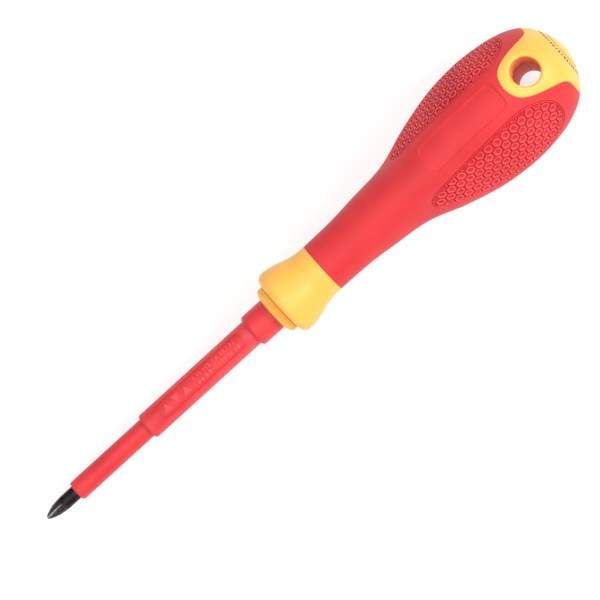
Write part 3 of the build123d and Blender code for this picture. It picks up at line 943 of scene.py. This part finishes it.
# ---------------------------------------------------------------------------
# plain mark printed on the butt: a thin circle and a ring of dashes
# ---------------------------------------------------------------------------
DASHES, DASH_RING_R, DASH_WIDTH = 44, 7.6, 0.9
CIRCLE_R, CIRCLE_WIDTH = 6.2, 0.28


def butt_x(rho, theta):
    """Where the butt's skin is rho away from the axis, by halving."""
    lo, hi = 165.0, BUTT_END
    for _ in range(40):
        m = (lo + hi) / 2
        if float(radius(m, theta)) > rho:
            lo = m
        else:
            hi = m
    return (lo + hi) / 2


def butt_point(a, b, lift):
    """A point on the butt at sideways place (a, b) in the tool's y and z."""
    rho, theta = math.hypot(a, b), math.atan2(a, b)
    x = butt_x(max(rho, 1.6), theta)
    return to_row(np.array([x + lift, a, b]))


def print_strip(path, width, verts, faces):
    """A thin raised strip of ink along a path on the butt."""
    p = np.array(path)
    t = np.gradient(p, axis=0)
    t /= np.linalg.norm(t, axis=1)[:, None]
    nrm = np.stack([-t[:, 1], t[:, 0]], 1)
    base = len(verts)
    edge = ((-1, -0.05), (-1, 0.015), (-0.5, 0.02), (0, 0.02), (0.5, 0.02), (1, 0.015),
            (1, -0.05), (0, -0.08))
    n = len(edge)
    for q, m in zip(p, nrm):
        for s, lift in edge:
            e = q + m * s * width / 2
            verts.append(butt_point(e[0], e[1], lift))
    for i in range(len(p) - 1):
        for k in range(n):
            a, b = base + n * i + k, base + n * i + (k + 1) % n
            faces.append((a, b, b + n, a + n))
    faces.append(tuple(base + k for k in reversed(range(n))))
    faces.append(tuple(base + n * (len(p) - 1) + k for k in range(n)))


verts, faces = [], []
for k in range(DASHES):
    a0 = 2 * math.pi * k / DASHES
    span = math.radians(5.2 if k % 3 else 3.0)
    print_strip([(DASH_RING_R * math.sin(a0 + span * s), DASH_RING_R * math.cos(a0 + span * s))
                 for s in np.linspace(-0.5, 0.5, 4)], DASH_WIDTH, verts, faces)
for q in range(4):
    print_strip([(CIRCLE_R * math.sin(a), CIRCLE_R * math.cos(a))
                 for a in np.linspace(q * math.pi / 2 + 0.02, (q + 1) * math.pi / 2 - 0.02, 24)],
                CIRCLE_WIDTH, verts, faces)
make_object("butt_mark", verts, faces, orange_print, "handle", angle=35)

# ---------------------------------------------------------------------------
# floor, light and camera
# ---------------------------------------------------------------------------
floor_low = cad_low[2]
mesh = bpy.data.meshes.new("floor")
mesh.from_pydata([(-3, -3, floor_low), (3, -3, floor_low), (3, 3, floor_low), (-3, 3, floor_low)],
                 [], [(0, 1, 2, 3)])
floor = bpy.data.objects.new("floor", mesh)
scene.collection.objects.link(floor)
floor_mat = finish_material("floor_white", (0.25, 0.25, 0.25, 1), (0.245, 0.245, 0.245, 1),
                            (0.35, 0.35, 0.35, 1), 0.8, bump=0.0, cloud=3.0, spec=0.1)
glow = floor_mat.node_tree.nodes["Principled BSDF"]
glow.inputs["Emission Color"].default_value = (1, 1, 1, 1)
glow.inputs["Emission Strength"].default_value = 0.78
mesh.materials.append(floor_mat)

world = bpy.data.worlds.new("studio")
scene.world = world
world.use_nodes = True
sky = world.node_tree.nodes
links = world.node_tree.links
place_on_sky = sky.new("ShaderNodeTexCoord")
parts = sky.new("ShaderNodeSeparateXYZ")
rise = sky.new("ShaderNodeValToRGB")
rise.color_ramp.elements[0].position = 0.0
rise.color_ramp.elements[0].color = (0.42, 0.42, 0.42, 1)
rise.color_ramp.elements[1].position = 0.75
rise.color_ramp.elements[1].color = (1, 1, 1, 1)
links.new(place_on_sky.outputs["Generated"], parts.inputs["Vector"])
links.new(parts.outputs["Z"], rise.inputs["Fac"])
links.new(rise.outputs["Color"], sky["Background"].inputs["Color"])
sky["Background"].inputs["Strength"].default_value = 0.70


def area(name, place, size, power):
    """A round area light that points at the middle of the tool."""
    light = bpy.data.lights.new(name, "AREA")
    light.shape = "DISK"
    light.size = size
    light.energy = power
    obj = bpy.data.objects.new(name, light)
    scene.collection.objects.link(obj)
    obj.location = place
    aim = Vector((0, 0, 0.01)) - Vector(place)
    obj.rotation_euler = aim.to_track_quat("-Z", "Y").to_euler()


area("key", (0.80, -0.45, 0.78), 0.45, 9.5)
area("tip_fill", (-0.80, -0.30, 0.60), 0.6, 2.2)
area("top", (-0.1, -0.1, 1.3), 1.2, 3.8)

AZ, EL, ROLL = math.radians(-2.89), math.radians(81.21), math.radians(-38.854)
back = Vector((math.sin(AZ) * math.cos(EL), -math.cos(AZ) * math.cos(EL), math.sin(EL)))
level = Vector((math.cos(AZ), math.sin(AZ), 0))
over = back.cross(level)
right = math.cos(ROLL) * level + math.sin(ROLL) * over
up = -math.sin(ROLL) * level + math.cos(ROLL) * over
cam_data = bpy.data.cameras.new("camera")
cam_data.sensor_width = 36.0
cam_data.lens = 213.8
cam_data.clip_start = 0.05
cam_data.clip_end = 20
camera = bpy.data.objects.new("camera", cam_data)
scene.collection.objects.link(camera)
place = Vector((-0.003881, -0.003111, 0.015)) + back * 0.9339
camera.matrix_world = Matrix((
    (right.x, up.x, back.x, place.x), (right.y, up.y, back.y, place.y),
    (right.z, up.z, back.z, place.z), (0, 0, 0, 1)))
scene.camera = camera
scene.view_settings.view_transform = "Standard"
